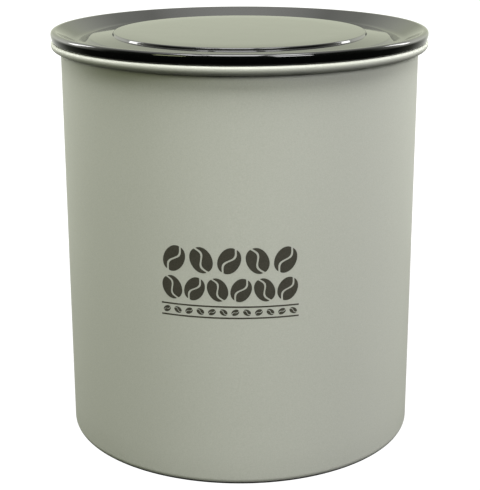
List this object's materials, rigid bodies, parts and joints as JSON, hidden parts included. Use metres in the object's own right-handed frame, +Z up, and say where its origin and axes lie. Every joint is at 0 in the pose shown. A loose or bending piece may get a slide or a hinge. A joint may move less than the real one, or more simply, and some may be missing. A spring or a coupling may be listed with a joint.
{
  "type": "coffee tin",
  "caption": "Round powder-coated coffee tin with a rolled mouth, a gloss push-fit lid and a press-down inner lid with a wiper seal, an air valve and a folding handle.",
  "frame": {"origin": "centre of the base, on the surface the tin stands on", "axes": "+Z up along the tin's axis; the printed front faces -Y; the folded handle points to +Y"},
  "size_m": [0.178, 0.178, 0.1975],
  "materials": {
    "powder_coat": "matte powder coat",
    "print_ink": "matte ink",
    "gloss_black": "high gloss",
    "inner_plastic": "fine matte",
    "seal_silicone": "matte silicone",
    "valve_silicone": "matte silicone",
    "valve_plastic": "satin",
    "spring_steel": "drawn wire",
    "handle_plastic": "satin",
    "pin_steel": "ground"
  },
  "bodies": {
    "canister": {"canister_body": "powder_coat"},
    "outer_lid": {"outer_lid": "gloss_black"},
    "inner_lid": {"inner_lid_plate": "inner_plastic", "wiper_seal": "seal_silicone", "valve_cap": "inner_plastic", "valve_grate": "inner_plastic", "valve_spring": "spring_steel"},
    "valve": {"valve_stem": "valve_plastic", "valve_disc": "valve_silicone"},
    "handle": {"handle": "handle_plastic", "handle_pin": "pin_steel"}
  },
  "joints": [
    {"name": "outer_lid_lift", "type": "slide", "parent": "canister", "child": "outer_lid", "axis": [0, 0, 1], "range_m": [0, 0.1]},
    {"name": "inner_lid_press", "type": "slide", "parent": "canister", "child": "inner_lid", "axis": [0, 0, 1], "range_m": [-0.108, 0]},
    {"name": "valve_lift", "type": "slide", "parent": "inner_lid", "child": "valve", "axis": [0, 0, 1], "range_m": [0, 0.0026], "deforming": ["valve_spring"]},
    {"name": "handle_turn", "type": "hinge", "parent": "valve", "child": "handle", "pos_m": [0, 0, 0.1398], "axis": [1, 0, 0], "range_deg": [0, 90]}
  ],
  "couplings": [
    {"joint": "valve_lift", "follows": "handle_turn", "m_per_rad": 0.0015915}
  ]
}
